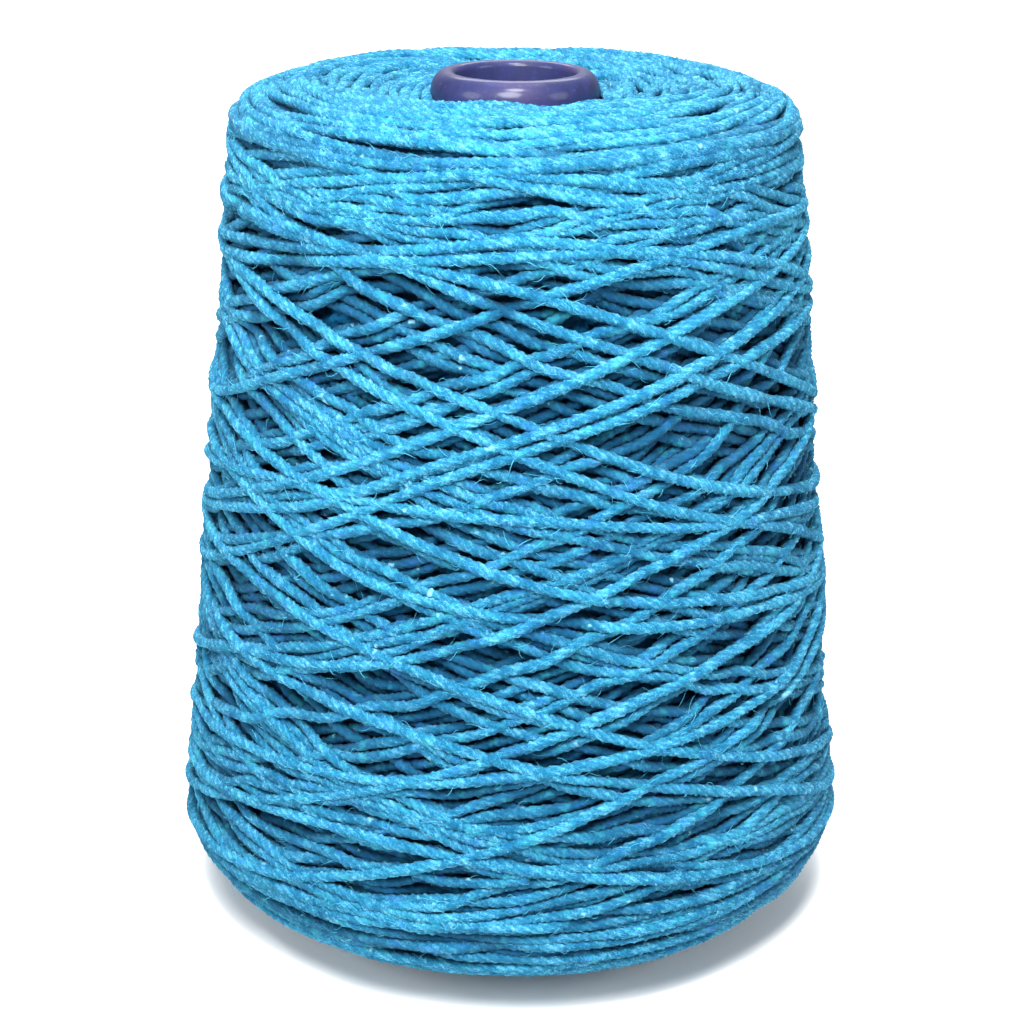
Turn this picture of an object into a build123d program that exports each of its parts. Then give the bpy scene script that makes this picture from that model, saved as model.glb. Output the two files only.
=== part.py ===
from build123d import *

import os
from math import cos, radians, tan

# A cone of thick string: yarn cross-wound on a conical plastic tube.
# Millimetres. The foot of the tube stands on Z = 0, and +Z is the tube's axis, towards its nose.

# ---- Driving dimensions: the tube ----
tube_length = 175.0
tube_taper = 5.95          # degrees between the side and the axis, a 5 deg 57 min cone
tube_wall = 2.2
nose_bore_radius = 11.85   # the land that a creel peg passes through
nose_rim = 4.4             # from the bore out to the cone, before both edges are rounded
nose_land_length = 4.0
nose_outer_round = 3.0
nose_inner_round = 1.2
rim_flat = 0.1             # the least that is left between the two rounds
lip_slope = 3.0            # below the land, the lip runs out into the wall over this height
foot_band_height = 7.0     # a thicker band inside the foot
foot_band_thickness = 1.3
band_slope = 2.6           # the band runs out into the wall over this height
foot_round = 0.8
notch_width = 2.8          # a slot in the foot that holds the start of the yarn
notch_height = 4.0

# ---- Driving dimensions: the yarn ----
yarn_diameter = 2.1
outer_layers = 5           # yarn thicknesses in the open, crossed layers outside
nose_showing = 4.3         # how much of the nose stands clear of the package
package_foot_radius = 70.4     # where the side meets the rounded lower corner
package_nose_radius = 56.5     # where the side meets the rounded upper corner
face_rise = 2.3            # each end face climbs this much on its way out from the tube
foot_corner_reach = 15.0   # the lower corner, measured in from the side
foot_corner_height = 15.2
nose_corner_reach = 16.0   # the upper corner
nose_corner_height = 7.2

# ---- Driving dimensions: the start tail, the yarn's first turns ----
tail_turns = 2
tail_start = 1.2           # height of the lowest turn above the foot
tail_flattening = 0.88     # a turn is pressed this flat against the tube
tail_round = 1.0
tail_gap = 0.8             # between the tail and the package above it


def tube_radius(z):
    """Outside radius of the tube's plain cone at height z."""
    return nose_bore_radius + nose_rim + (tube_length - z) * tan(radians(tube_taper))


# ---- Worked out: the tube ----
foot_radius = tube_radius(0)
wall_across = tube_wall / cos(radians(tube_taper))    # the wall, measured square to the axis
outer_round = min(nose_outer_round, nose_rim - nose_inner_round - rim_flat)
band_radius = foot_radius - wall_across - foot_band_thickness
band_end = foot_band_height + band_slope
land_bottom = tube_length - nose_inner_round - nose_land_length
lip_end = land_bottom - lip_slope

# ---- Worked out: the yarn ----
tail_height = tail_turns * yarn_diameter * tail_flattening
tail_top = tail_start + tail_height
tail_proud = yarn_diameter * tail_flattening
package_start = tail_top + tail_gap                   # where the package leaves the tube at the foot
package_end = tube_length - nose_showing              # and where it meets the tube at the nose
package_low = package_start + face_rise               # level of the lower corner's edge
package_high = package_end + face_rise                # level of the upper corner's edge
side_low = package_low + foot_corner_height
side_high = package_high - nose_corner_height
side_slope = (package_foot_radius - package_nose_radius) / (side_high - side_low)
outer_thickness = outer_layers * yarn_diameter


def core_radius(z):
    """Radius at which the inner winding ends and the outer, open layers begin."""
    return package_foot_radius - outer_thickness - (z - side_low) * side_slope


# ---- Conical tube, with a rolled nose and a banded, notched foot ----
with BuildPart() as cone_tube:
    with BuildSketch(Plane.XZ) as tube_section:
        with BuildLine():
            Polyline(
                (band_radius, 0),
                (foot_radius, 0),
                (tube_radius(tube_length), tube_length),
                (nose_bore_radius, tube_length),
                (nose_bore_radius, land_bottom),
                (tube_radius(lip_end) - wall_across, lip_end),
                (tube_radius(band_end) - wall_across, band_end),
                (band_radius, foot_band_height),
                close=True,
            )
        make_face()
        nose_corners = tube_section.vertices().sort_by(Axis.Y)[-2:].sort_by(Axis.X)
        foot_corner = tube_section.vertices().sort_by(Axis.Y)[:2].sort_by(Axis.X)[-1]
        fillet(nose_corners[0], radius=nose_inner_round)
        fillet(nose_corners[1], radius=outer_round)
        fillet(foot_corner, radius=foot_round)
    revolve(axis=Axis.Z)
    with BuildSketch(Plane.XY):
        with Locations((0, foot_radius)):
            Rectangle(notch_width, 2 * (foot_radius - band_radius + foot_band_thickness))
    extrude(amount=notch_height, mode=Mode.SUBTRACT)
cone_tube.part.label = "cone_tube"

# ---- Start tail: two turns round the foot, below the package ----
with BuildPart() as start_tail:
    with BuildSketch(Plane.XZ) as tail_section:
        with BuildLine():
            Polyline(
                (tube_radius(tail_start), tail_start),
                (tube_radius(tail_start) + tail_proud, tail_start),
                (tube_radius(tail_top) + tail_proud, tail_top),
                (tube_radius(tail_top), tail_top),
                close=True,
            )
        make_face()
        fillet(tail_section.vertices().sort_by(Axis.X)[-2:], radius=tail_round)
    revolve(axis=Axis.Z)
start_tail.part.label = "start_tail"

# ---- The package's section, from the tube out: both end faces rise, both corners are rounded ----
with BuildSketch(Plane.XZ) as package_section:
    with BuildLine():
        Line(
            (tube_radius(package_start), package_start),
            (package_foot_radius - foot_corner_reach, package_low),
        )
        EllipticalCenterArc(
            (package_foot_radius - foot_corner_reach, side_low),
            foot_corner_reach,
            foot_corner_height,
            start_angle=-90,
            arc_size=90,
        )
        Line((package_foot_radius, side_low), (package_nose_radius, side_high))
        EllipticalCenterArc(
            (package_nose_radius - nose_corner_reach, side_high),
            nose_corner_reach,
            nose_corner_height,
            start_angle=0,
            arc_size=90,
        )
        Line(
            (package_nose_radius - nose_corner_reach, package_high),
            (tube_radius(package_end), package_end),
        )
        Line(
            (tube_radius(package_end), package_end),
            (tube_radius(package_start), package_start),
        )
    make_face()

# ---- The core: everything inside the cone where the outer layers start ----
core_low = package_start - yarn_diameter
core_high = package_high + yarn_diameter
with BuildSketch(Plane.XZ) as core_section:
    with BuildLine():
        Polyline(
            (0, core_low),
            (core_radius(core_low), core_low),
            (core_radius(core_high), core_high),
            (0, core_high),
            close=True,
        )
    make_face()

# ---- Inner winding: the close-packed bulk of the package ----
with BuildPart() as inner_winding:
    add(package_section.sketch)
    revolve(axis=Axis.Z)
    add(core_section.sketch)
    revolve(axis=Axis.Z, mode=Mode.INTERSECT)
inner_winding.part.label = "inner_winding"

# ---- Outer winding: the open, crossed layers that show ----
with BuildPart() as outer_winding:
    add(package_section.sketch)
    revolve(axis=Axis.Z)
    add(core_section.sketch)
    revolve(axis=Axis.Z, mode=Mode.SUBTRACT)
outer_winding.part.label = "outer_winding"

# ---- Write one STEP for each node ----
os.makedirs("parts", exist_ok=True)
export_step(cone_tube.part, "parts/cone_tube.step")
export_step(start_tail.part, "parts/start_tail.step")
export_step(inner_winding.part, "parts/inner_winding.step")
export_step(outer_winding.part, "parts/outer_winding.step")
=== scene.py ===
import math

import bpy
import numpy as np
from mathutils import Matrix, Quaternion, Vector


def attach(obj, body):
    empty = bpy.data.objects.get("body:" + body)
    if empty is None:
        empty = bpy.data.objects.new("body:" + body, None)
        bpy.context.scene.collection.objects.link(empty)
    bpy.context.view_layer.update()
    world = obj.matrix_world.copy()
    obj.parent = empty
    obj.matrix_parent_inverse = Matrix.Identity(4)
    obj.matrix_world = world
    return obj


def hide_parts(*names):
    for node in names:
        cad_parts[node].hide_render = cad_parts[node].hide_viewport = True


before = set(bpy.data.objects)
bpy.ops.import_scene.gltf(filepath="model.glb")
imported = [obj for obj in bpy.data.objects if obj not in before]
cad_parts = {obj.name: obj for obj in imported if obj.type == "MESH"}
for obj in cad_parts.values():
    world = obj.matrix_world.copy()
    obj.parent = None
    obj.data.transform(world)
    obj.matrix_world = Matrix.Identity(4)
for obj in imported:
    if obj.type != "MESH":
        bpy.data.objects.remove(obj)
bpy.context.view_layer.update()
bpy.ops.object.select_all(action="DESELECT")
print("frame loaded")

# lengths are in millimetres until a mesh or an object is made
metre = 0.001
rng = np.random.default_rng(48)
firstDraw = rng.bit_generator.state


cameraSetup = {
    "place": (0.0, -430.0, 241.6),
    "lookDown": 20.258,  # degrees below the horizon
    "roll": 0.441,  # degrees about the line of sight
    "lens": 76.68,
    "sensor": 36.0,
}


def addCamera():
    bpy.ops.object.camera_add()
    camera = bpy.context.object
    camera.name = "camera"
    camera.data.lens = cameraSetup["lens"]
    camera.data.sensor_width = cameraSetup["sensor"]
    camera.data.clip_start = 0.01
    camera.location = Vector(cameraSetup["place"]) * metre
    camera.rotation_mode = "QUATERNION"
    tilt = Quaternion((1, 0, 0), math.radians(90 - cameraSetup["lookDown"]))
    camera.rotation_quaternion = tilt @ Quaternion((0, 0, 1), math.radians(cameraSetup["roll"]))
    bpy.context.scene.camera = camera


addCamera()
print("camera placed")


coneShape = {
    "taper": 5.95,  # degrees
    "tubeLength": 175.0,
    "noseRadius": 16.25,
    "lowFace": 5.7,  # where the winding starts on the tube, and where it ends
    "highFace": 170.7,
    "lowInner": (55.4, 8.0),  # radius and height where each corner starts and ends
    "footCorner": (70.4, 23.2),
    "noseCorner": (56.5, 165.8),
    "highInner": (40.5, 173.0),
}
taper = math.radians(coneShape["taper"])
cosTaper = math.cos(taper)
sinTaper = math.sin(taper)


def tubeRadius(s):
    return coneShape["noseRadius"] + (coneShape["tubeLength"] - s) * math.tan(taper)


def toRound(theta, s, depth):
    # a place on the tube and the height above it, as x, y and z
    radius = tubeRadius(s) + depth * cosTaper
    return np.stack([radius * np.sin(theta), -radius * np.cos(theta), s + depth * sinTaper], axis=-1)


def toLayer(radius, z):
    # the other way: the place on the tube and the height above it
    depth = (radius - tubeRadius(z)) * cosTaper
    return z - depth * sinTaper, depth


def cornerArc(inner, outer, steps=24):
    # a quarter of an ellipse from the face to the side
    turn = np.linspace(0, math.pi / 2, steps)
    radius = inner[0] + (outer[0] - inner[0]) * np.sin(turn)
    z = outer[1] + (inner[1] - outer[1]) * np.cos(turn)
    return radius, z


def coneOutline():
    lowR, lowZ = cornerArc(coneShape["lowInner"], coneShape["footCorner"])
    highR, highZ = cornerArc(coneShape["highInner"], coneShape["noseCorner"])
    radius = np.concatenate([lowR, highR[::-1]])
    z = np.concatenate([lowZ, highZ[::-1]])
    return toLayer(radius, z)


outlineS, outlineDepth = coneOutline()


def outerDepth(s):
    return np.interp(s, outlineS, outlineDepth)


def faceReach(depth, high):
    # how far along the tube a turn at this depth may go, up or down
    half = len(outlineS) // 2
    if high:
        return np.interp(-depth, -outlineDepth[half:], outlineS[half:])
    return np.interp(depth, outlineDepth[:half], outlineS[:half])


winding = {
    "yarn": 2.1,  # diameter
    "stack": 1.35,  # how much one strand lifts the next: yarn beds into yarn
    "slope": 22.0,  # travel along the tube for each radian
    "slopeNoise": 0.09,
    "arch": 5.0,  # how the travel turns round at each end
    "choices": 7,  # strokes tried, of which the one over the lowest ground is laid
    "trials": 2,  # windings made only to see how high the turns pile up
    "trialDepth": 12.0,
    "reliefTurns": 60,
    "outerTurns": 160,
    "perPiece": 24,
    "dwell": (0.05, 1.1),  # how far round a stroke rests at its end
    "lastTurnsRise": 1.6,  # room left for the last turns
    "nearShare": 0.45,  # strokes that end near the corner
    "nearEnd": 7.0,  # how far short of it they may stay
    "farEnd": (24.0, 15.0),  # and the other strokes, at the foot and at the nose
    "cellS": 0.6,
    "cellsRound": 720,
    "sample": 0.7,
    "knotGap": 2.4,
    "slide": 1.6,  # how far a strand may slip sideways
    "slideFrom": (20, 161),
    "pressed": 16.0,  # the pull on a turn that has many others over it
    "loose": 3.0,
    "proud": 0.9,  # how far a strand may ride above the others
    "outerProud": -0.3,  # and above the outline
    "lastProud": 0.35,
    "tuck": 3.2,  # how deep the two ends of the last turns go in
}
yarnRadius = winding["yarn"] / 2
bedRadius = winding["stack"] / 2
firstS = -2.0
rowsS = int((coneShape["tubeLength"] + 3 - firstS) / winding["cellS"])
cellTurn = 2 * math.pi / winding["cellsRound"]
gridS = firstS + np.arange(rowsS) * winding["cellS"]

# the round foot that a strand presses into what it lies on
reach = np.arange(-0.6, 0.61, 0.3)
footX, footY = (a.ravel() for a in np.meshgrid(reach, reach))
withinFoot = footX**2 + footY**2 < bedRadius**2
footX = footX[withinFoot]
footY = footY[withinFoot]
footRise = np.sqrt(bedRadius**2 - footX**2 - footY**2)


def gridPlace(theta, s):
    column = np.rint(theta / cellTurn).astype(int) % winding["cellsRound"]
    row = np.clip(np.rint((s - firstS) / winding["cellS"]).astype(int), 0, rowsS - 1)
    return column, row


def footCells(theta, s, depth):
    radius = np.maximum(tubeRadius(s) + depth * cosTaper, 5)
    column = np.rint((theta[:, None] + footX / radius[:, None]) / cellTurn).astype(int)
    row = np.rint((s[:, None] + footY - firstS) / winding["cellS"]).astype(int)
    return column % winding["cellsRound"], np.clip(row, 0, rowsS - 1)


def pulledTight(distance, need, curve):
    # the shortest line over the obstacles: an upper hull once the curve of the cone is taken off
    bend = np.cumsum(np.cumsum(curve * np.gradient(distance)) * np.gradient(distance))
    flat = need - bend
    hull = [0]
    for i in range(1, len(flat)):
        while len(hull) > 1:
            a, b = hull[-2], hull[-1]
            rise = (flat[b] - flat[a]) * (distance[i] - distance[a])
            if rise >= (flat[i] - flat[a]) * (distance[b] - distance[a]):
                break
            hull.pop()
        hull.append(i)
    return np.interp(distance, distance[hull], flat[hull]) + bend


def evenedOut(values, width=5):
    wide = np.ones(width) / width
    return np.convolve(np.pad(values, width // 2, mode="edge"), wide, mode="valid")


def settled(field, theta, s, rounds=3):
    # the strand slides sideways into the groove beside it
    ends = np.minimum(np.arange(len(s)), np.arange(len(s))[::-1]) / 12
    first, last = winding["slideFrom"]
    hold = np.clip(ends, 0, 1) * np.clip((s - first) / 6, 0, 1) * np.clip((last - s) / 6, 0, 1)
    slide = np.zeros(len(s))
    for _ in range(rounds):
        around = [field[gridPlace(theta, s + slide + side)] for side in (-1.2, -0.6, 0.6, 1.2)]
        low, lowNear, highNear, high = around
        tilt = np.clip((low + lowNear - high - highNear) * 0.25, -0.6, 0.6)
        tilt = np.convolve(np.pad(tilt, 12, mode="edge"), np.hanning(27)[1:-1] / 13, mode="valid")
        slide = np.clip(slide + tilt, -winding["slide"], winding["slide"])
    return s + slide * hold


def runAlong(theta, s, radius):
    # the distance gone at each point
    return np.concatenate([[0], np.cumsum(np.hypot(np.diff(theta) * radius[1:], np.diff(s)))])


def layStrand(field, theta, s, start, press, cap):
    # lays one stretch on what is there, and gives the depth of its middle line
    column, row = footCells(theta, s, outerDepth(s))
    guess = field[column, row].max(axis=1)
    column, row = footCells(theta, s, guess)
    need = (field[column, row] + footRise).max(axis=1)
    if start is not None:
        need[0] = max(need[0], start)
    radius = tubeRadius(s) + need * cosTaper
    across = np.gradient(theta) * radius
    distance = runAlong(theta, s, radius)
    share = (across / np.maximum(np.gradient(distance), 1e-6)) ** 2
    depth = pulledTight(distance, need, press * share / radius)
    depth = np.minimum(depth, cap)
    depth = evenedOut(evenedOut(depth))
    np.maximum.at(field, (column, row), depth[:, None] + footRise)
    return depth


def keepRoom(field, theta, s, depth):
    # strands that run side by side do not share the same room
    for side in (-0.95, 0.95):
        cells = gridPlace(theta, s + side)
        field[cells] = np.maximum(field[cells], depth + bedRadius * 0.6)


def travelShape(span, slope, arch):
    # distance along the tube from one end of a stroke to the other, and the angle it takes
    ease = slope / (2 * arch)
    eased = arch * ease**2
    turn = (span - 2 * eased) / slope + 2 * ease

    def at(u):
        ramp = np.where(u < ease, arch * u**2, eased + (u - ease) * slope)
        return np.where(u > turn - ease, span - arch * (turn - u) ** 2, ramp)

    return turn, at


def evenSamples(theta, s, depth, gap):
    radius = tubeRadius(s) + depth * cosTaper
    distance = runAlong(theta, s, radius)
    count = max(int(distance[-1] / gap), 4)
    even = np.linspace(0, distance[-1], count)
    return np.interp(even, distance, theta), np.interp(even, distance, s)


def pressAt(share):
    # turns that lie under others are pressed into the gaps
    return winding["pressed"] * (1 - share) + winding["loose"] * share


def blurred(field, cellsAround, cellsAlong):
    wide = np.concatenate([field[-cellsAround:], field, field[:cellsAround]])
    total = np.cumsum(wide, axis=0)
    around = (total[2 * cellsAround:] - total[:-2 * cellsAround]) / (2 * cellsAround)
    wide = np.pad(around, ((0, 0), (cellsAlong, cellsAlong)), mode="edge")
    total = np.cumsum(wide, axis=1)
    return (total[:, 2 * cellsAlong:] - total[:, :-2 * cellsAlong]) / (2 * cellsAlong)


def strayEnd(high):
    # where a stroke ends: some near the corner, the others short of it
    near = rng.random() < winding["nearShare"]
    stray = rng.uniform(0, winding["nearEnd"] if near else winding["farEnd"][high])
    edge = faceReach(float(outerDepth(60)) * rng.uniform(0.93, 0.99), high)
    return edge - stray if high else edge + stray


def makeStroke(theta, place, upward):
    # one way along the cone, then a rest at its end
    target = strayEnd(upward)
    slope = winding["slope"] * (1 + winding["slopeNoise"] * rng.normal())
    arch = winding["arch"] * (1 + 0.25 * rng.uniform(-1, 1))
    angle, at = travelShape(abs(target - place), slope, arch)
    u = np.linspace(0, angle, 700)
    s = place + np.sign(target - place) * at(u)
    wander = rng.normal(0, 0.9) * np.sin(u / angle * math.pi) ** 2
    wander = wander + rng.normal(0, 0.5) * np.sin(u / angle * math.pi * rng.integers(2, 5))
    s = s + wander * np.sin(u / angle * math.pi)
    dwell = rng.uniform(*winding["dwell"])
    held = np.linspace(0, dwell, 90)[1:]
    drift = rng.normal(0, 0.7) * (1 - np.cos(held / dwell * math.pi)) / 2
    return theta + np.concatenate([u, angle + held]), np.concatenate([s, target + drift])


def layTurns(field, turns, growth):
    # one continuous strand, up and down the cone; gives its angle, place and depth
    bed = blurred(field, 12, 6)
    theta = 0.0
    place = strayEnd(False)
    upward = True
    pieces = []
    last = None

    def ground(stroke):
        # how high most of the ground under a stroke is
        return np.percentile(field[gridPlace(*stroke)] - outerDepth(stroke[1]), 80)

    for turn in range(turns):
        # the guide lays the strand where the cone is lowest
        strokes = [makeStroke(theta, place, upward) for _ in range(winding["choices"])]
        turned, s = min(strokes, key=ground)
        theta = float(turned[-1])
        place = float(s[-1])
        turned, s = evenSamples(turned, s, outerDepth(s), winding["sample"])
        s = settled(field, turned, s)
        column, row = gridPlace(turned, s)
        cap = bed[column, row] + growth[row] * turn / turns + yarnRadius + winding["proud"]
        cap = np.minimum(cap, outerDepth(s) - yarnRadius + winding["outerProud"])
        depth = layStrand(field, turned, s, last, pressAt(turn / turns), cap)
        keepRoom(field, turned, s, depth)
        pieces.append((turned, s, depth))
        last = depth[-1]
        upward = not upward
    return pieces


def woundField(base, growth):
    # the inner turns are only a relief, the outer ones are kept as strands
    rng.bit_generator.state = firstDraw
    share = winding["reliefTurns"] / (winding["reliefTurns"] + winding["outerTurns"])
    field = np.zeros((winding["cellsRound"], rowsS)) + base
    field[:, (gridS < coneShape["lowFace"]) | (gridS > coneShape["highFace"])] = 0
    layTurns(field, winding["reliefTurns"], growth * share)
    relief = field.copy()
    pieces = layTurns(field, winding["outerTurns"], growth * (1 - share))
    return field, relief, pieces


# trial windings show how high the turns pile up everywhere, so that the last one fills the outline
outline = outerDepth(gridS)[None, :]
base = outline - winding["trialDepth"]
grown = np.full(rowsS, 30.0)
for _ in range(winding["trials"]):
    trial = woundField(base, grown)[0]
    pile = np.minimum(blurred(trial - base, 12, 6), outline - 1)
    base = outline - pile - winding["lastTurnsRise"]
    grown = pile.mean(axis=0)
field, relief, outerTurns = woundField(base, grown)
short = float((outline[0] - field.mean(axis=0))[rowsS // 2])
print("outer turns wound, short of the outline by", round(short, 1), "mm")

# the last turns, as they lie: degrees round from the front, and height in millimetres
lastTurns = [
    [(-75, 72), (-37, 65.7), (-18, 63), (2, 56.5), (25, 50), (51, 40.7), (75, 29), (130, 16),
     (180, 14), (240, 32)],
    [(-75, 47), (-49, 49.4), (-18, 52), (8, 56), (32, 59), (60, 63), (130, 95), (180, 118),
     (240, 138)],
    [(-62, 144), (-32, 148.6), (-2, 151.5), (19, 152.2), (35, 150), (58, 144.5), (110, 124),
     (180, 100), (240, 89)],
    [(-57, 85.3), (-26, 77.8), (1, 68.6), (21, 59.5), (50, 48), (100, 30), (150, 16), (190, 15),
     (240, 26)],
    [(-48, 38.6), (-30, 40.8), (-2, 37.5), (24, 31.4), (57, 25.3), (120, 16), (180, 24), (240, 46)],
    [(-75, 60), (-54, 69), (-33, 71.6), (-15, 76.8), (8, 86.3), (27, 94.4), (45, 99), (100, 118),
     (150, 136), (200, 148), (250, 149)],
    [(-62, 140.4), (-36, 130.3), (-9, 120.5), (15, 109.6), (29, 103), (60, 92), (120, 62),
     (180, 36), (230, 20), (270, 23)],
    [(-50, 38), (-11, 54.8), (18, 67), (42, 73.5), (60, 76), (120, 92), (180, 112), (230, 132),
     (260, 142)],
    [(-73, 146), (-42, 149.5), (-20, 151.5), (1, 154.8), (15, 153), (40, 147), (65, 138),
     (110, 127), (180, 121), (240, 118)],
    [(-60, 112), (-30, 104.3), (-9, 96), (15, 88), (42, 83.6), (74, 77), (130, 55), (180, 30),
     (220, 17), (270, 18)],
    [(-40, 26), (-2, 40.3), (9, 44.6), (19, 49.4), (50, 58), (120, 76), (180, 92), (240, 104)],
    [(-68, 115.7), (-38, 128.3), (-14, 137.2), (4, 144), (25, 149.5), (50, 153), (75, 152),
     (120, 147), (180, 149), (240, 153)],
    [(-50, 153), (-20, 149.6), (1, 145.7), (22, 138.6), (44, 129), (70, 117), (120, 98), (180, 80),
     (240, 84)],
    [(-70, 94), (-33, 109.3), (-7, 122), (17, 131.7), (35, 138), (50, 142), (70, 146), (110, 149),
     (160, 151), (210, 152), (260, 152)],
    [(-50, 152), (-21, 149.5), (-2, 141.8), (22, 133), (41, 124), (77, 110.6), (130, 92), (180, 80),
     (240, 91)],
    [(-78, 99.9), (-44, 106), (-19, 105), (8, 103.8), (29, 100), (54, 96.6), (78, 90.6), (130, 94),
     (180, 112), (230, 134)],
    [(-72, 143.4), (-47, 139), (-24, 130.8), (-2, 123.6), (10, 118), (30, 108.8), (48, 102.6),
     (76, 95), (130, 92), (180, 97), (240, 105)],
    [(-60, 103), (-44, 97.4), (-24, 89.7), (1, 85.5), (29, 81), (47, 80), (76, 74.7), (130, 66),
     (180, 65), (240, 72)],
    [(-75, 79), (-55, 88), (-34, 99), (-12, 111.4), (8, 118.8), (30, 125), (50, 129.6), (76, 131.8),
     (110, 128), (160, 112), (210, 94), (250, 86)],
    [(-83, 88.4), (-56, 96.5), (-35, 102.6), (-16, 112.6), (4, 120), (26, 126.8), (44, 132.6),
     (64, 137.3), (110, 144), (150, 148)],
]


def layLastTurns(field):
    degrees = [360 * turn + knot[0] for turn, knots in enumerate(lastTurns) for knot in knots]
    height = [knot[1] for knots in lastTurns for knot in knots]
    even = np.arange(degrees[0], degrees[-1], 0.5)
    place = np.interp(even, degrees, height)
    softer = np.hanning(61)[1:-1]
    place = np.convolve(np.pad(place, 29, mode="edge"), softer / softer.sum(), mode="valid")
    s = place - outerDepth(place - 4) * sinTaper
    theta, s = evenSamples(np.radians(even), s, outerDepth(s), winding["sample"])
    cap = outerDepth(s) - yarnRadius + winding["lastProud"]
    depth = layStrand(field, theta, s, None, winding["loose"], cap)
    # both ends go in under their neighbours
    end = np.clip(1 - np.arange(len(s))[::-1] / 24, 0, 1)
    start = np.clip(1 - np.arange(len(s)) / 24, 0, 1)
    return theta, s, depth - winding["tuck"] * end**2 - winding["tuck"] * start**2


lastStrand = layLastTurns(field)
print("last turns laid")


faceTurns = {
    "gapTurn": math.radians(137.5),  # from one turning point to the next
    "halfLength": 28.0,
    "arch": 4.5,
    "showing": 1.8,  # how much of a turn is seen beside its turning point
    "room": 0.45,  # kept between one turn and the next
    "sunk": 0.9,  # how unevenly the turns lie
    "dive": 0.45,  # how steeply a turn goes in under the next ones
    "deepest": 0.9,  # how far the next layer lies under the turning points
    "topDepth": 37.2,  # where the outer turns take over
    "footDepth": 36.2,
    "mostTurns": 600,
    "innerShare": 0.55,
}


def layFace(high, stopDepth):
    # the turning points of all the inner turns, which show on the flat ends
    field = np.zeros((winding["cellsRound"], rowsS))
    sign = 1 if high else -1
    loops = []
    level = 0.3
    count = 0
    while level < stopDepth and count < faceTurns["mostTurns"]:
        sunk = rng.uniform(0, faceTurns["sunk"])
        edge = faceReach(level + yarnRadius + bedRadius + sunk, high)
        edge = edge - sign * abs(rng.normal(0, 0.5))
        radius = tubeRadius(edge) + level
        half = min((faceTurns["halfLength"] + 0.8 * level) / radius, 1.6)
        u = np.linspace(-half, half, 240)
        lean = rng.normal(0, 1.0)
        s = edge - sign * (faceTurns["arch"] * u**2 + lean * u)
        middle = count * faceTurns["gapTurn"] + rng.normal(0, 0.12)
        theta, s = evenSamples(middle + u, s, level + 0 * u, 0.5)
        depth = layStrand(field, theta, s, None, 2.0, outerDepth(s) - yarnRadius - sunk)
        cells = gridPlace(theta, s)
        field[cells] = np.maximum(field[cells], depth + bedRadius + faceTurns["room"])
        keepRoom(field, theta, s, depth)
        under = np.maximum(abs(edge - s) - faceTurns["showing"], 0)
        loops.append((theta, s, depth - faceTurns["dive"] * under))
        band = (gridS - (edge - sign * 1.2)) * sign
        level = float(field[:, abs(band) < 1.2].mean())
        deeper = band < -1.5
        field[:, deeper] = np.maximum(field[:, deeper], level - faceTurns["deepest"])
        count += 1
    print("face turns", "top" if high else "foot", count, "up to", round(level, 1))
    return loops


topLoops = layFace(True, faceTurns["topDepth"])
footLoops = layFace(False, faceTurns["footDepth"])


yarn = {
    "lobeRadius": 1.22,
    "grooveRadius": 1.07,
    "lobes": 4,
    "lay": 9.5,  # length of one full twist
    "ringGap": 1.3,
    "uneven": 0.07,  # how the thickness wanders
    "unevenGap": 7,
    "resolution": 3,
    "uvScale": 0.1,  # of the map along the strand, for each millimetre
}
corners = 2 * yarn["lobes"]


def smoothRoute(points):
    # the evaluated line of a smooth spline through the route's points
    curve = bpy.data.curves.new("route", "CURVE")
    curve.dimensions = "3D"
    curve.resolution_u = yarn["resolution"]
    spline = curve.splines.new("NURBS")
    spline.points.add(len(points) - 1)
    flat = np.ones((len(points), 4))
    flat[:, :3] = points * metre
    spline.points.foreach_set("co", flat.ravel())
    spline.order_u = 3
    spline.use_endpoint_u = True
    holder = bpy.data.objects.new("route", curve)
    bpy.context.collection.objects.link(holder)
    line = bpy.data.meshes.new_from_object(holder)
    found = np.empty(len(line.vertices) * 3)
    line.vertices.foreach_get("co", found)
    bpy.data.objects.remove(holder)
    bpy.data.curves.remove(curve)
    bpy.data.meshes.remove(line)
    return found.reshape(-1, 3) / metre


def evenLine(points, gap):
    distance = np.concatenate([[0], np.cumsum(np.linalg.norm(np.diff(points, axis=0), axis=1))])
    count = max(int(round(distance[-1] / gap)), 6)
    even = np.linspace(0, distance[-1], count + 1)
    return np.stack([np.interp(even, distance, points[:, i]) for i in range(3)], axis=-1), even


def strandRings(line, distance, phase):
    along = np.gradient(line, axis=0)
    along /= np.linalg.norm(along, axis=1)[:, None]
    outward = line * [1, 1, 0]
    outward -= (outward * along).sum(axis=1)[:, None] * along
    outward /= np.linalg.norm(outward, axis=1)[:, None]
    side = np.cross(along, outward)
    turn = phase + 2 * math.pi * (np.arange(corners) / corners + distance[:, None] / yarn["lay"])
    size = np.where(np.arange(corners) % 2 == 0, yarn["lobeRadius"], yarn["grooveRadius"])
    knots = np.arange(0, distance[-1] + yarn["unevenGap"] + 1, yarn["unevenGap"])
    slow = np.interp(distance, knots, rng.normal(0, yarn["uneven"], len(knots)))
    size = (size * (1 + slow[:, None]))[..., None]
    outward = np.cos(turn)[..., None] * outward[:, None, :]
    side = np.sin(turn)[..., None] * side[:, None, :]
    return line[:, None, :] + size * (outward + side)


def spreadHighest(field, cellsAround, cellsAlong):
    # the highest ground within reach of each cell
    high = field.copy()
    for step in range(1, cellsAround + 1):
        high = np.maximum(high, np.maximum(np.roll(field, step, axis=0), np.roll(field, -step, axis=0)))
    far = high.copy()
    for step in range(1, cellsAlong + 1):
        far[:, step:] = np.maximum(far[:, step:], high[:, :-step])
        far[:, :-step] = np.maximum(far[:, :-step], high[:, step:])
    return far


topOfYarn = blurred(spreadHighest(field, 10, 8), 8, 6)


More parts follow.
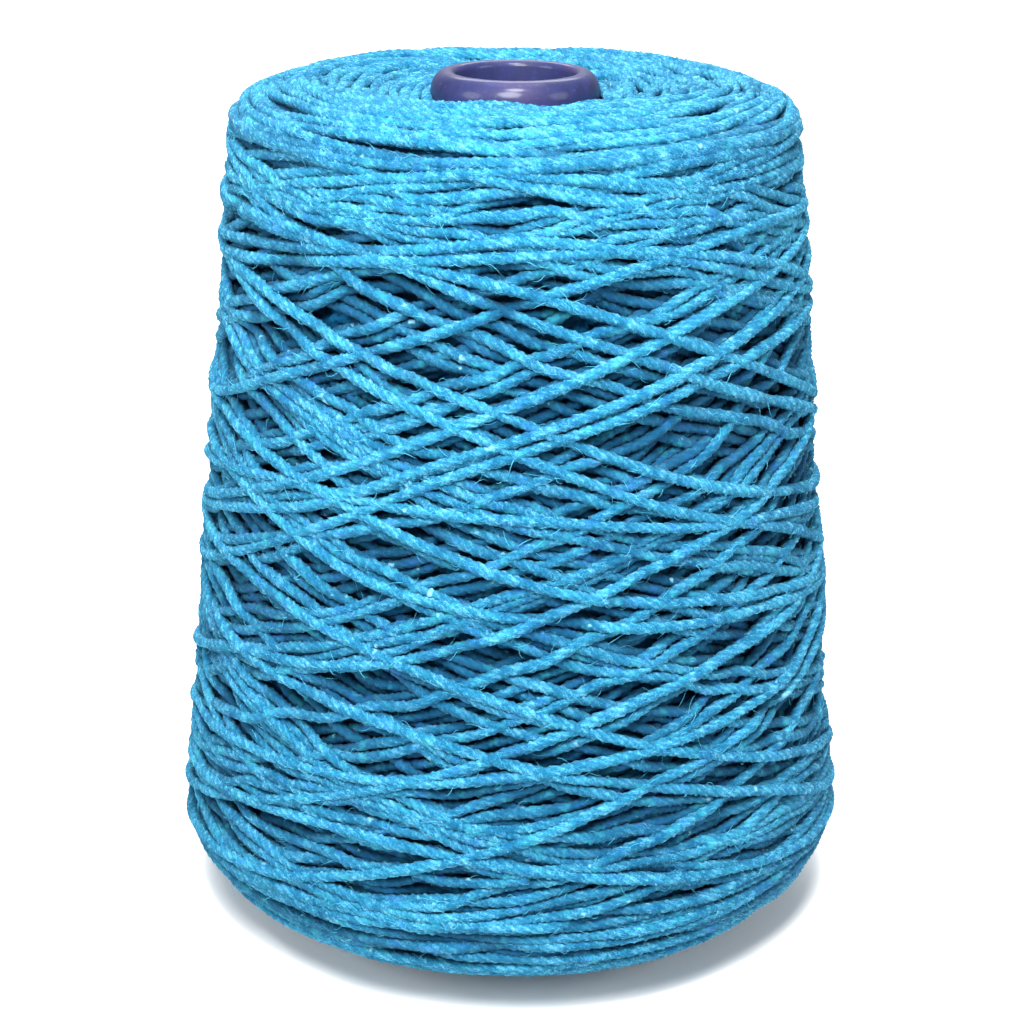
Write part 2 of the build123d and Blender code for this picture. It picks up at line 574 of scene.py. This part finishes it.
def depthBuried(points):
    # how far a strand's middle lies below the strands on top round it; the yarn material paints shade on
    # the strand by this depth
    s, depth = toLayer(np.hypot(points[:, 0], points[:, 1]), points[:, 2])
    theta = np.arctan2(points[:, 0], -points[:, 1])
    side = topOfYarn[gridPlace(theta, s)] - bedRadius - depth
    low = s - faceReach(depth, False) - 1.2
    high = faceReach(depth, True) - s - 1.2
    return np.minimum(side, np.minimum(low, high))


def ringCorners(rings):
    # the number of the ring and of the corner of each face
    ring, corner = np.meshgrid(np.arange(rings), np.arange(corners), indexing="ij")
    return ring.ravel(), corner.ravel()


def squareUv(u0, u1, v0, v1):
    square = [(u0, v0), (u0, v1), (u1, v1), (u1, v0)]
    return np.stack([np.stack(place, axis=-1) for place in square], axis=1)


def stripUv(quadCount):
    # the unrolled strand laid in rows for the bake
    rings = quadCount // corners
    girth = 2 * math.pi * yarn["lobeRadius"]
    rows = max(1, int(math.sqrt(rings * yarn["ringGap"] / girth)))
    perRow = math.ceil(rings / rows)
    ring, corner = ringCorners(rings)
    row, column = np.divmod(ring, perRow)
    v0 = (row + 0.04 + 0.92 * corner / corners) / rows
    v1 = (row + 0.04 + 0.92 * (corner + 1) / corners) / rows
    return squareUv(column / perRow, (column + 1) / perRow, v0, v1).reshape(-1, 2)


def strandMesh(name, routes):
    # one mesh of one or more strands, each a closed twisted tube
    points = []
    quads = []
    yarnUv = []
    caps = []
    lines = []
    total = 0
    for route in routes:
        line, distance = evenLine(smoothRoute(route), yarn["ringGap"])
        lines.append(line)
        rings = strandRings(line, distance, rng.uniform(0, 6.28))
        count = len(line)
        points.append(rings.reshape(-1, 3))
        ring, corner = ringCorners(count - 1)
        nextCorner = (corner + 1) % corners
        first = total + ring * corners
        quad = [first + corner, first + nextCorner, first + corners + nextCorner, first + corners + corner]
        quads.append(np.stack(quad, axis=-1))
        low = distance[ring] * yarn["uvScale"]
        high = distance[ring + 1] * yarn["uvScale"]
        yarnUv.append(squareUv(low, high, corner / corners, (corner + 1) / corners))
        caps.append(list(range(total + corners - 1, total - 1, -1)))
        last = total + (count - 1) * corners
        caps.append(list(range(last, last + corners)))
        total += count * corners
    points = np.concatenate(points)
    quads = np.concatenate(quads)
    yarnUv = np.concatenate(yarnUv).reshape(-1, 2)
    mesh = bpy.data.meshes.new(name)
    mesh.from_pydata((points * metre).tolist(), [], quads.tolist() + caps)
    capUv = np.zeros((corners * len(caps), 2))
    layer = mesh.uv_layers.new(name="yarn")
    layer.data.foreach_set("uv", np.concatenate([yarnUv, capUv]).ravel())
    layer = mesh.uv_layers.new(name="OFBake")
    layer.data.foreach_set("uv", np.concatenate([stripUv(len(quads)), capUv + 0.0005]).ravel())
    # the depth by which the yarn material paints shade on lower strands
    paintedShadeDepth = np.repeat(depthBuried(np.concatenate(lines)), corners).astype(np.float32)
    mesh.attributes.new("paintedShadeDepth", "FLOAT", "POINT").data.foreach_set("value", paintedShadeDepth)
    mesh.polygons.foreach_set("use_smooth", np.ones(len(mesh.polygons), dtype=bool))
    mesh.validate()
    piece = bpy.data.objects.new(name, mesh)
    bpy.context.collection.objects.link(piece)
    return piece, lines


def routeOf(theta, s, depth):
    radius = tubeRadius(s) + depth * cosTaper
    distance = runAlong(theta, s, radius)
    count = max(int(distance[-1] / winding["knotGap"]), 5)
    even = np.linspace(0, distance[-1], count)
    return toRound(*(np.interp(even, distance, a) for a in (theta, s, depth)))


def joined(strokes):
    # strokes end to end, each without the first point, which the one before it has
    return [np.concatenate([strokes[0][i]] + [stroke[i][1:] for stroke in strokes[1:]]) for i in range(3)]


def placeYarn(piece, node):
    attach(piece, "root")
    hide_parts(node)
    yarnPieces.append(piece)


def declareYarn(piece, line, node):
    placeYarn(piece, node)
    length = float(np.linalg.norm(np.diff(line, axis=0), axis=1).sum()) * metre
    (line[0] * metre).tolist()
    (line * metre).tolist()
    return length


yarnPieces = []
surfaceLines = []
stretches = {}
for first in range(0, len(outerTurns), winding["perPiece"]):
    stretch = joined(outerTurns[first:first + winding["perPiece"]])
    stretches["outer_turns_" + str(len(stretches) + 1)] = stretch
stretches["last_turns"] = lastStrand
for name, stretch in stretches.items():
    piece, lines = strandMesh(name, [routeOf(*stretch)])
    length = declareYarn(piece, lines[0], "outer_winding")
    surfaceLines += lines
    print(name, round(length, 2), "m", len(piece.data.polygons) * 2, "triangles")

faceParts = {}
for end, loops in (("top", topLoops), ("foot", footLoops)):
    middle = int(len(loops) * faceTurns["innerShare"])
    faceParts[end + "_inner_turns"] = loops[:middle]
    faceParts[end + "_corner_turns"] = loops[middle:]
for name, loops in faceParts.items():
    piece, lines = strandMesh(name, [routeOf(*loop) for loop in loops])
    placeYarn(piece, "inner_winding")
    surfaceLines += lines
    print(name, len(piece.data.polygons) * 2, "triangles")


fuzz = {
    "count": 9000,
    "radius": 0.045,
    "taper": 0.7,
    "length": (1.0, 3.0),
    "lift": (0.1, 0.7),
    "round": 1.9,  # how far round the strand a fibre may stand, in radians
    "lean": 0.5,
    "curl": 0.35,
    "rings": 4,
    "nearOutline": 2.6,  # only on strands this near the outside
}


def layFlat(mesh):
    # each fibre has a small square of its own for the bake
    across = math.ceil(math.sqrt(fuzz["count"]))
    vertex = np.empty(len(mesh.loops), dtype=int)
    mesh.loops.foreach_get("vertex_index", vertex)
    fibre, part = np.divmod(vertex, 3 * fuzz["rings"])
    ring, corner = np.divmod(part, 3)
    u = (fibre % across + 0.15 + 0.7 * ring / (fuzz["rings"] - 1)) / across
    v = (fibre // across + 0.15 + 0.7 * corner / 2) / across
    flat = np.stack([u, v], axis=-1).astype(np.float32)
    mesh.uv_layers.new(name="OFBake").data.foreach_set("uv", flat.ravel())


def addFuzz(lines):
    # short fibres that stand off the outermost strands
    points = np.concatenate([line[1:-1] for line in lines])
    along = np.concatenate([np.gradient(line, axis=0)[1:-1] for line in lines])
    radius = np.hypot(points[:, 0], points[:, 1])
    s, depth = toLayer(radius, points[:, 2])
    near = np.flatnonzero(depth > outerDepth(s) - fuzz["nearOutline"])
    count = fuzz["count"]
    chosen = rng.choice(near, count)
    root = points[chosen]
    forward = along[chosen] / np.linalg.norm(along[chosen], axis=1)[:, None]
    outward = root * [1, 1, 0]
    outward /= np.linalg.norm(outward, axis=1)[:, None]
    side = np.cross(forward, outward)
    turn = rng.uniform(-fuzz["round"], fuzz["round"], count)[:, None]
    away = np.cos(turn) * outward + np.sin(turn) * side
    forward = forward * rng.choice([-1, 1], count)[:, None]
    forward = forward + side * rng.normal(0, fuzz["lean"], count)[:, None]
    length = rng.uniform(*fuzz["length"], count)[:, None]
    lift = rng.uniform(*fuzz["lift"], count)[:, None]
    curl = rng.normal(0, fuzz["curl"], count)[:, None]
    rings = []
    for step in range(fuzz["rings"]):
        part = step / (fuzz["rings"] - 1)
        middle = root + away * (yarnRadius * 0.8 + lift * math.sin(part * 2.2))
        middle = middle + forward * length * part + side * curl * math.sin(part * 3.1)
        size = fuzz["radius"] * (1.05 - fuzz["taper"] * part)
        across = np.cross(forward, away)
        for corner in range(3):
            a = corner * 2 * math.pi / 3
            rings.append(middle + size * (math.cos(a) * away + math.sin(a) * across))
    place = np.stack(rings, axis=1).reshape(-1, 3)
    perHair = 3 * fuzz["rings"]
    first = np.arange(count)[:, None] * perHair
    faces = []
    for step in range(fuzz["rings"] - 1):
        for corner in range(3):
            a = step * 3 + corner
            b = step * 3 + (corner + 1) % 3
            faces.append(np.concatenate([first + a, first + a + 3, first + b + 3, first + b], axis=1))
    last = first + perHair
    ends = np.concatenate([first, first + 1, first + 2], axis=1).tolist()
    tips = np.concatenate([last - 1, last - 2, last - 3], axis=1).tolist()
    mesh = bpy.data.meshes.new("loose_fibres")
    mesh.from_pydata((place * metre).tolist(), [], np.concatenate(faces).tolist() + ends + tips)
    mesh.polygons.foreach_set("use_smooth", np.ones(len(mesh.polygons), dtype=bool))
    layFlat(mesh)
    piece = bpy.data.objects.new("loose_fibres", mesh)
    bpy.context.collection.objects.link(piece)
    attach(piece, "root")
    print("loose fibres", count)
    return piece


fibres = addFuzz(surfaceLines)


insideTurns = {
    "around": 320,
    "faceSteps": 14,
    "sideGap": 0.95,
    "faceInset": 2.6,
    "offTube": 0.15,
    "underRelief": 0.1,
    "cornerGap": 4.4,  # kept from the outline
}


def addInside():
    lowS = coneShape["lowFace"] + insideTurns["faceInset"]
    highS = coneShape["highFace"] - insideTurns["faceInset"]
    sideS = np.arange(lowS, highS, insideTurns["sideGap"])
    columns = np.arange(insideTurns["around"] + 1) * 2 * math.pi / insideTurns["around"]
    side = relief[gridPlace(columns[:, None], sideS[None, :])] - insideTurns["underRelief"]
    gap = insideTurns["cornerGap"]
    side = np.minimum(side, np.minimum(outerDepth(sideS - gap), outerDepth(sideS + gap)) - gap)
    fraction = np.linspace(0, 1, insideTurns["faceSteps"], endpoint=False)
    start = insideTurns["offTube"]
    lowFace = start + (side[:, :1] - start) * fraction
    highFace = start + (side[:, -1:] - start) * fraction[::-1]
    depth = np.concatenate([lowFace, side, highFace, lowFace[:, :1]], axis=1)
    s = np.concatenate([np.full(len(fraction), lowS), sideS, np.full(len(fraction), highS), [lowS]])
    bpy.ops.object.select_all(action="DESELECT")
    bpy.ops.mesh.primitive_grid_add(
        x_subdivisions=depth.shape[1] - 1, y_subdivisions=insideTurns["around"], size=1)
    piece = bpy.context.object
    piece.name = "inside_turns"
    piece.data.name = "inside_turns"
    piece.data.uv_layers[0].name = "OFBake"
    # the flat grid is closed round the tube
    place = toRound(np.repeat(columns, depth.shape[1]), np.tile(s, len(columns)), depth.ravel())
    piece.data.vertices.foreach_set("co", (place * metre).ravel())
    bpy.ops.object.mode_set(mode="EDIT")
    bpy.ops.mesh.select_all(action="SELECT")
    bpy.ops.mesh.remove_doubles(threshold=0.00001)
    bpy.ops.mesh.normals_make_consistent(inside=False)
    bpy.ops.object.mode_set(mode="OBJECT")
    bpy.ops.object.shade_smooth()
    piece.select_set(False)
    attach(piece, "root")
    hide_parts("inner_winding")
    print("inside of the winding", len(piece.data.polygons) * 2, "triangles")
    return piece


inside = addInside()


tail = {
    "turns": 2,
    "lowest": 2.15,
    "rise": 1.0,  # for each turn
    "firstTurn": 0.14,
    "knots": 150,
    "pressed": 0.94,
    "notchTurn": math.pi,
    "throughNotch": [-3.2, -2, -1, 0],  # heights above the tube, from its inside
    # turned, place on the tube and height, where it goes in under the winding
    "into": [(0.12, 4.9, 1.5), (0.3, 6.2, 2.0), (0.5, 7.4, 2.6), (0.7, 8.0, 3.0)],
}


def addTail():
    startTurn = tail["notchTurn"]
    turned = np.linspace(tail["firstTurn"], tail["turns"] * 2 * math.pi, tail["knots"])
    s = tail["lowest"] + tail["rise"] * turned / (2 * math.pi)
    wound = toRound(startTurn + turned, s, np.full(len(s), yarnRadius * tail["pressed"]))
    through = np.array(tail["throughNotch"], dtype=float)
    level = np.zeros(len(through))
    notch = toRound(startTurn + level, tail["lowest"] + 0.1 + level, through)
    turn, s, depth = np.array(tail["into"]).T
    into = toRound(startTurn + turned[-1] + turn, s, depth)
    piece, lines = strandMesh("start_turns", [np.concatenate([notch, wound, into])])
    length = declareYarn(piece, lines[0], "start_tail")
    print("start tail", round(length, 2), "m")


addTail()


tubeShape = {
    "footRadius": 34.49,
    "wall": 2.21,  # measured square to the axis
    "lipStart": 170.9,  # where the outside starts to roll over
    "lipWidth": 3.1,
    "innerRound": 1.25,
    "boreRadius": 11.85,
    "landBottom": 169.8,  # where the bore ends and the inside widens
    "lipEnd": 166.8,
    "bandRadius": 30.98,  # the thicker foot
    "bandTop": 7.0,
    "bandEnd": 9.6,
    "footRound": 0.8,
    "steps": 160,
    "notchWidth": 2.8,
    "notchHeight": 4.0,
    "notchDepth": 12,
    "sharp": math.radians(40),
}


def quarter(centre, reach, start, steps):
    # points of a quarter ellipse, start in quarter turns
    turn = (start + np.linspace(0, 1, steps)) * math.pi / 2
    return [(centre[0] + reach[0] * math.cos(a), centre[1] + reach[1] * math.sin(a)) for a in turn]


def tubeSection():
    # radius and height, up the outside, over the lip, down the bore and round the foot
    top = coneShape["tubeLength"]
    foot = tubeShape["footRound"]
    start = tubeShape["lipStart"]
    width = tubeShape["lipWidth"]
    inner = tubeShape["innerRound"]
    outer = [(tubeRadius(z), z) for z in np.linspace(foot, start, 12)[:-1]]
    lip = quarter((tubeRadius(start) - width, start), (width, top - start), 0, 12)
    edge = quarter((tubeShape["boreRadius"] + inner, top - inner), (inner, inner), 1, 6)
    land = [(tubeShape["boreRadius"], tubeShape["landBottom"])]
    wall = [(tubeRadius(z) - tubeShape["wall"], z) for z in (tubeShape["lipEnd"], 60, tubeShape["bandEnd"])]
    band = [(tubeShape["bandRadius"], tubeShape["bandTop"]), (tubeShape["bandRadius"], 0)]
    footEdge = quarter((tubeShape["footRadius"] - foot, foot), (foot, foot), 3, 5)[:-1]
    return outer + lip + edge + land + wall + band + footEdge


def addTube():
    section = tubeSection()
    bpy.ops.object.select_all(action="DESELECT")
    bpy.ops.mesh.primitive_circle_add(vertices=len(section), radius=1)
    piece = bpy.context.object
    piece.name = "tube_shell"
    for vertex, (radius, z) in zip(piece.data.vertices, section):
        vertex.co = Vector((radius, 0, z)) * metre
    bpy.ops.object.mode_set(mode="EDIT")
    bpy.ops.mesh.select_all(action="SELECT")
    bpy.ops.mesh.spin(steps=tubeShape["steps"], angle=2 * math.pi, center=(0, 0, 0), axis=(0, 0, 1))
    bpy.ops.mesh.select_all(action="SELECT")
    bpy.ops.mesh.remove_doubles(threshold=0.00002)
    bpy.ops.mesh.normals_make_consistent(inside=False)
    bpy.ops.object.mode_set(mode="OBJECT")
    bpy.ops.mesh.primitive_cube_add(size=1, location=(0, tubeShape["footRadius"] * metre, 0))
    cutter = bpy.context.object
    size = (tubeShape["notchWidth"], tubeShape["notchDepth"], 2 * tubeShape["notchHeight"])
    cutter.scale = Vector(size) * metre
    bpy.ops.object.select_all(action="DESELECT")
    piece.select_set(True)
    bpy.context.view_layer.objects.active = piece
    cut = piece.modifiers.new("notch", "BOOLEAN")
    cut.object = cutter
    cut.operation = "DIFFERENCE"
    bpy.ops.object.modifier_apply(modifier=cut.name)
    bpy.data.objects.remove(cutter)
    bpy.ops.object.shade_smooth_by_angle(angle=tubeShape["sharp"])
    piece.select_set(False)
    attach(piece, "root")
    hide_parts("cone_tube")
    print("tube", len(piece.data.polygons), "faces")
    return piece


tube = addTube()


class Term:
    # a value in a material, so that shading maths reads as sums
    def __init__(self, look, socket):
        self.look = look
        self.socket = socket

    def math(self, operation, *others):
        return self.look.node("ShaderNodeMath", {"operation": operation}, dict(enumerate((self,) + others)))

    def __add__(self, other):
        return self.math("ADD", other)

    def __sub__(self, other):
        return self.math("SUBTRACT", other)

    def __mul__(self, other):
        return self.math("MULTIPLY", other)

    def __rsub__(self, other):
        return self.look.node("ShaderNodeMath", {"operation": "SUBTRACT"}, {0: other, 1: self})

    __radd__ = __add__
    __rmul__ = __mul__

    def between(self, low, high):
        return self.look.node("ShaderNodeMapRange", {"clamp": True}, {0: self, 1: low, 2: high})


class Look:
    # a material being built
    def __init__(self, name):
        self.material = bpy.data.materials.new(name)
        self.material.use_nodes = True
        self.tree = self.material.node_tree
        self.tree.nodes.clear()

    def node(self, kind, settings=None, values=None, out=0):
        made = self.tree.nodes.new(kind)
        for key, value in (settings or {}).items():
            setattr(made, key, value)
        for key, value in (values or {}).items():
            if isinstance(value, Term):
                self.tree.links.new(value.socket, made.inputs[key])
            else:
                made.inputs[key].default_value = value
        return Term(self, made.outputs[out]) if made.outputs else None

    def mixed(self, factor, a, b):
        return self.node("ShaderNodeMix", {"data_type": "RGBA"}, {0: factor, 6: a, 7: b}, out=2)

    def objectPlace(self):
        return self.node("ShaderNodeTexCoord", out=3)

    def noise(self, vector, scale, detail=3.0, roughness=0.55):
        values = {"Vector": vector, "Scale": scale, "Detail": detail, "Roughness": roughness}
        return self.node("ShaderNodeTexNoise", values=values)

    def bump(self, height, strength, distance):
        values = {"Strength": strength, "Distance": distance, "Height": height}
        return self.node("ShaderNodeBump", values=values)

    def finish(self, values):
        shader = self.node("ShaderNodeBsdfPrincipled", values=values)
        self.node("ShaderNodeOutputMaterial", values={0: shader})
        return self.material


def colour(red, green, blue):
    # from the 0 to 255 of a colour picker
    def linear(v):
        v = v / 255
        return v / 12.92 if v < 0.04045 else ((v + 0.055) / 1.055) ** 2.4

    return (linear(red), linear(green), linear(blue), 1.0)


yarnLook = {
    "deep": colour(2, 76, 112),
    "main": colour(50, 146, 178),
    "pale": colour(112, 188, 218),
    "groove": 0.6,  # painted shade in the grooves of the twist: how dark they are painted
    # painted shade: the colour that strands lying below the top ones are darkened towards
    "under": colour(0, 58, 90),
    "paintedShadeShare": 0.85,
    "paintedShadeRange": (0.2, 2.1),  # painted shade: a strand this far, in millimetres, below the strands on top is darkened
    "teal": colour(52, 160, 170),
    "tealShare": 0.35,
    "violet": colour(60, 120, 215),
    "violetShare": 0.2,
    "fleck": colour(160, 225, 240),
    "fleckShare": 0.4,
    "bump": 0.8,
    "roughness": 0.85,
    "sheen": 0.02,
    "specular": 0.12,
}


def makeYarnLook():
    look = Look("blue_yarn")
    uv = look.node("ShaderNodeUVMap", {"uv_map": "yarn"})
    along = look.node("ShaderNodeSeparateXYZ", values={0: uv})
    around = Term(look, along.socket.node.outputs[1])
    place = look.objectPlace()
    groove = (1 - (around * (2 * math.pi * yarn["lobes"])).math("COSINE")) * 0.5
    # single fibres run along the strand
    fibrePlace = look.node("ShaderNodeCombineXYZ", values={0: along * 9, 1: around * 20})
    fibre = look.noise(fibrePlace, 1.6, 4.0, 0.6)
    fine = look.noise(place, 2600, 3.0, 0.65)
    patch = look.noise(place, 70, 2.0)
    light = look.noise(place, 420, 2.0)
    tone = (fibre * 0.9 + fine * 0.7 + light * 0.7 + patch * 0.5).between(1.16, 1.66)
    base = look.mixed(tone, yarnLook["deep"], yarnLook["main"])
    base = look.mixed(((fine + fibre + light) * 0.3333).between(0.5, 0.68), base, yarnLook["pale"])
    # painted shade: the grooves between the plies are darkened towards the deep colour
    base = look.mixed(groove * yarnLook["groove"], base, yarnLook["deep"])
    # painted shade: strands that lie below the strands on top are darkened by their depth
    paintedShadeDepth = look.node("ShaderNodeAttribute", {"attribute_name": "paintedShadeDepth"}, out=2)
    under = paintedShadeDepth.between(*yarnLook["paintedShadeRange"])
    base = look.mixed(under * yarnLook["paintedShadeShare"], base, yarnLook["under"])
    teal = look.noise(place, 330, 3.0).between(0.55, 0.72)
    base = look.mixed(teal * yarnLook["tealShare"], base, yarnLook["teal"])
    violet = look.noise(place, 260, 3.0).between(0.56, 0.75)
    base = look.mixed(violet * yarnLook["violetShare"], base, yarnLook["violet"])
    flecks = look.noise(place, 380, 1.0).between(0.73, 0.8)
    base = look.mixed(flecks * yarnLook["fleckShare"], base, yarnLook["fleck"])
    return look.finish({
        "Base Color": base,
        "Roughness": yarnLook["roughness"],
        "Sheen Weight": yarnLook["sheen"],
        "Sheen Roughness": 0.5,
        "Specular IOR Level": yarnLook["specular"],
        "Normal": look.bump(fibre * 0.5 + fine * 0.8, yarnLook["bump"], 0.0005),
    })


# painted shade: the inside of the winding, seen only in the deep gaps, is coloured darker than the yarn on
# top
insideShadeLook = {
    "deep": colour(0, 66, 108),
    "main": colour(10, 112, 160),
    "roughness": 0.9,
    "bump": 0.6,
}


def makeInsideLook():
    look = Look("blue_yarn_inside_painted_shade")
    place = look.objectPlace()
    fine = look.noise(place, 2200, 3.0, 0.65)
    tone = (fine + look.noise(place, 420, 2.0)).between(0.75, 1.3)
    return look.finish({
        "Base Color": look.mixed(tone, insideShadeLook["deep"], insideShadeLook["main"]),
        "Roughness": insideShadeLook["roughness"],
        "Specular IOR Level": 0.2,
        "Normal": look.bump(fine, insideShadeLook["bump"], 0.0006),
    })


fibreLook = {
    "colour": colour(96, 200, 235),
    "roughness": 0.7,
}


def makeFibreLook():
    look = Look("blue_fibre")
    cloud = look.noise(look.objectPlace(), 120, 1.0)
    return look.finish({
        "Base Color": look.mixed(cloud, yarnLook["main"], fibreLook["colour"]),
        "Roughness": fibreLook["roughness"],
        "Specular IOR Level": 0.2,
    })


tubeLook = {
    "deep": colour(13, 17, 56),
    "main": colour(24, 31, 78),
    "pale": colour(54, 68, 114),
    "plum": colour(44, 32, 72),
    "plumShare": 0.6,
    "paleShare": 0.35,
    "stretch": (1.0, 1.0, 0.12),  # draws the streaks out along the tube
    "roughness": 0.43,  # of the smoothest places
    "specular": 0.28,
    "coat": 0.25,
    "coatRoughness": 0.18,
    "bump": 0.16,
}


def makeTubeLook():
    look = Look("purple_plastic")
    place = look.objectPlace()
    stretch = {0: place, 1: tubeLook["stretch"]}
    drawnOut = look.node("ShaderNodeVectorMath", {"operation": "MULTIPLY"}, stretch)
    streak = look.noise(drawnOut, 900, 4.0, 0.6)
    cloud = look.noise(place, 130, 3.0)
    speck = look.noise(place, 1500, 2.0)
    tone = (streak + cloud).between(0.7, 1.3)
    base = look.mixed(tone, tubeLook["deep"], tubeLook["main"])
    plum = look.noise(place, 60, 2.0).between(0.45, 0.62)
    base = look.mixed(plum * tubeLook["plumShare"], base, tubeLook["plum"])
    base = look.mixed(speck.between(0.62, 0.74) * tubeLook["paleShare"], base, tubeLook["pale"])
    return look.finish({
        "Base Color": base,
        "Roughness": streak * 0.3 + cloud * 0.25 + tubeLook["roughness"],
        "Specular IOR Level": tubeLook["specular"],
        "Coat Weight": tubeLook["coat"],
        "Coat Roughness": tubeLook["coatRoughness"],
        "Normal": look.bump(streak + cloud, tubeLook["bump"], 0.0004),
    })


def paint(piece, material):
    piece.data.materials.clear()
    piece.data.materials.append(material)


yarnMaterial = makeYarnLook()
for piece in yarnPieces:
    paint(piece, yarnMaterial)
paint(inside, makeInsideLook())
paint(fibres, makeFibreLook())
paint(tube, makeTubeLook())
print("materials made")


studio = {
    "floorSize": 6.0,
    "floor": colour(244, 244, 243),
    "world": colour(240, 243, 246),
    "worldStrength": 0.5,
    "lights": [
        # place, aim, size and power
        ((0.0, -0.6, 1.25), (0, 0, 0.1), 0.4, 22.6),
        ((-0.04, -0.27, 0.36), (0, 0, 0.14), 0.16, 2.7),
        ((0.0, 0.15, 1.2), (0, 0, 0.1), 0.8, 7.0),
        ((-0.9, -0.45, 0.5), (0, 0, 0.09), 0.5, 6.5),
        ((0.9, -0.45, 0.5), (0, 0, 0.09), 0.5, 4.5),
        ((0.0, 2.0, 1.6), (0, 1.7, 0.0), 1.6, 60.0),
    ],
}


def addStudio():
    bpy.ops.mesh.primitive_plane_add(size=studio["floorSize"])
    floor = bpy.context.object
    floor.name = "floor"
    paint(floor, Look("pale_floor").finish({"Base Color": studio["floor"], "Roughness": 0.85}))
    world = bpy.data.worlds.new("studio")
    world.use_nodes = True
    background = world.node_tree.nodes["Background"]
    background.inputs[0].default_value = studio["world"]
    background.inputs[1].default_value = studio["worldStrength"]
    bpy.context.scene.world = world
    bpy.context.scene.view_settings.view_transform = "Standard"
    for place, aim, size, power in studio["lights"]:
        bpy.ops.object.light_add(type="AREA", location=place)
        light = bpy.context.object
        light.data.shape = "DISK"
        light.data.size = size
        light.data.energy = power
        light.rotation_mode = "QUATERNION"
        light.rotation_quaternion = (Vector(aim) - Vector(place)).to_track_quat("-Z", "Y")


addStudio()
print("studio set")
